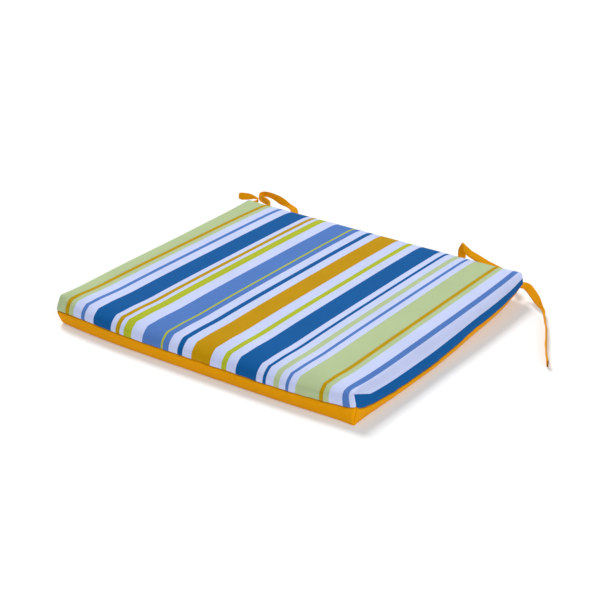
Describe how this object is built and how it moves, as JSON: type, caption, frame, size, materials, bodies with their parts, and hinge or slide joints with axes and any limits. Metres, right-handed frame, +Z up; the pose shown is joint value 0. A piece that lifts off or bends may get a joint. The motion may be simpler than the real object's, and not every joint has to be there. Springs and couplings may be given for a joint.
{
  "type": "chair seat pad",
  "caption": "Flat boxed seat pad: a foam slab in a striped and plain sewn cotton cover, with cloth tie strips at its rear corners.",
  "frame": {"origin": "centre of the pad's underside, on the surface the pad rests on, ties left out", "axes": "+X across the pad along its wide front edge, +Y from the front edge to the rear edge with the ties, +Z up through the pad's thickness"},
  "size_m": [0.5614, 0.4358, 0.039],
  "materials": {
    "striped_cotton": "plain-weave cotton printed with long stripes in pale lavender white, light green, lime, mustard, mid blue and dark blue",
    "mustard_cotton": "plain-weave cotton dyed mustard orange",
    "mustard_thread": "twisted sewing thread, slight sheen",
    "foam": "open-cell upholstery foam, matt"
  },
  "bodies": {
    "root": {"foam_core": "foam", "cover_top_panel": "striped_cotton", "cover_bottom_panel": "mustard_cotton", "perimeter_seam_thread": "mustard_thread", "closing_seam_thread": "mustard_thread", "dart_thread_front_left_top": "mustard_thread", "dart_thread_front_left_bottom": "mustard_thread", "dart_thread_front_right_top": "mustard_thread", "dart_thread_front_right_bottom": "mustard_thread", "dart_thread_rear_left_top": "mustard_thread", "dart_thread_rear_left_bottom": "mustard_thread", "dart_thread_rear_right_top": "mustard_thread", "dart_thread_rear_right_bottom": "mustard_thread", "tie_left_rear": "mustard_cotton", "tie_left_side": "mustard_cotton", "tie_right_rear": "mustard_cotton", "tie_right_side": "mustard_cotton", "tie_tack_left_rear": "mustard_thread", "tie_tack_left_side": "mustard_thread", "tie_tack_right_rear": "mustard_thread", "tie_tack_right_side": "mustard_thread"}
  },
  "joints": []
}
